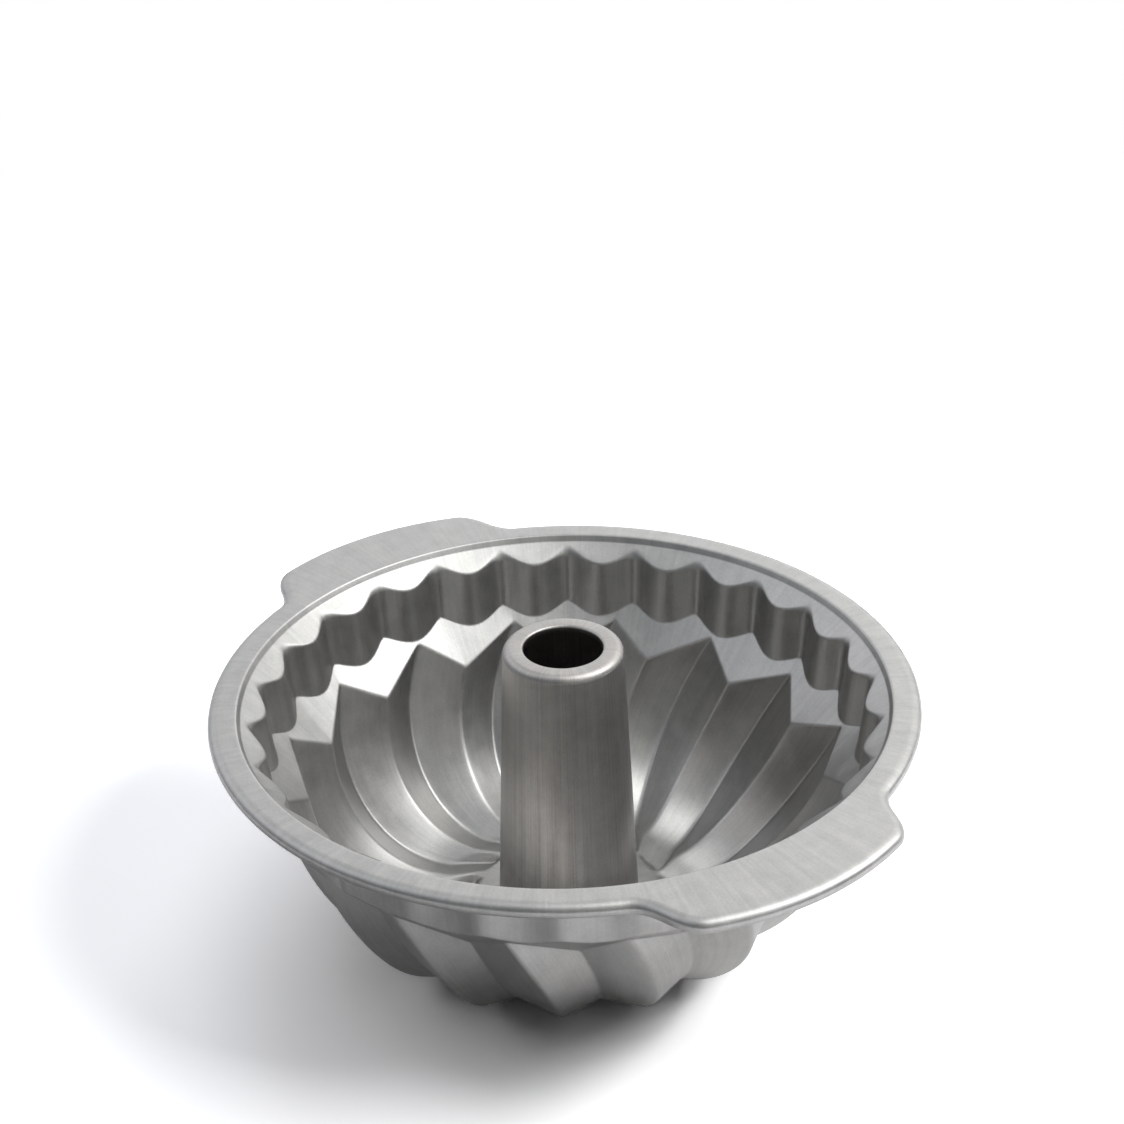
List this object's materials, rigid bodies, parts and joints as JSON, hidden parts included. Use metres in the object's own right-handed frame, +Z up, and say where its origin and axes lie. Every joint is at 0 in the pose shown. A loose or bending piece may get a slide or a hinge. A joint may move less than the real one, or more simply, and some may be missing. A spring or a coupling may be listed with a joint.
{
  "type": "fluted tube pan",
  "caption": "Round cake pan of pressed steel with a scalloped wall above swirled flutes, a hollow tapered tube through its middle, and a rolled rim with two flat handle tabs.",
  "frame": {"origin": "on the table, under the axis of the middle tube", "axes": "+X through the middle of a handle tab, +Z up along the tube, out of the pan's mouth"},
  "size_m": [0.2848, 0.25, 0.1115],
  "materials": {
    "coated_sheet": "satin",
    "coated_tube": "satin",
    "wire_steel": "satin"
  },
  "bodies": {
    "root": {"pan_body": "coated_sheet", "centre_tube": "coated_tube", "rim_wire": "wire_steel"}
  },
  "joints": []
}
